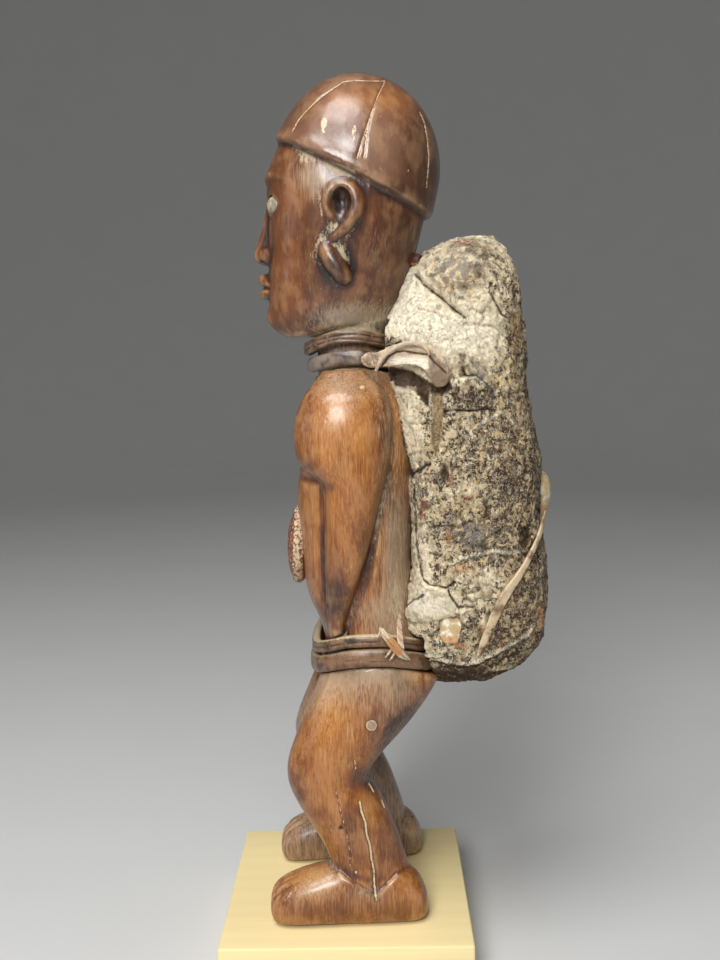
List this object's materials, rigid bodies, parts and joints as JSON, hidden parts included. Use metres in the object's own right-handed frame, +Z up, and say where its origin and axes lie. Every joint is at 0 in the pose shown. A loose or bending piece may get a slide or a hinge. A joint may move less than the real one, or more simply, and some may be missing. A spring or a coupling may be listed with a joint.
{
  "type": "kongo power figure",
  "caption": "Standing carved wooden power figure with a bundle of medicine bound to its back and a charge on its belly, on a square wooden block.",
  "frame": {"origin": "centre of the underside of the square block the figure stands on", "axes": "+Z up; the figure faces -Y; +X is the figure's own left side"},
  "size_m": [0.08, 0.1094, 0.2887],
  "materials": {
    "figure_wood": "satin",
    "block_wood": "matte",
    "crust": "matte",
    "charge_resin": "satin",
    "bead_resin": "gloss",
    "eye_inlay": "satin",
    "neck_fibre": "satin",
    "cane": "satin",
    "hide": "matte",
    "fibre_tie": "matte",
    "shell": "satin"
  },
  "bodies": {
    "root": {"block": "block_wood", "figure": "figure_wood", "medicine_pack": "crust", "belly_charge": "charge_resin", "left_eye_inlay": "eye_inlay", "right_eye_inlay": "eye_inlay", "neck_cord": "neck_fibre", "neck_thong": "neck_fibre", "waist_band_upper": "cane", "waist_band_lower": "cane", "pack_thong": "hide", "pack_strap": "hide", "waist_tie": "fibre_tie", "back_shell": "shell", "side_shell": "shell", "nape_bead": "bead_resin"}
  },
  "joints": []
}
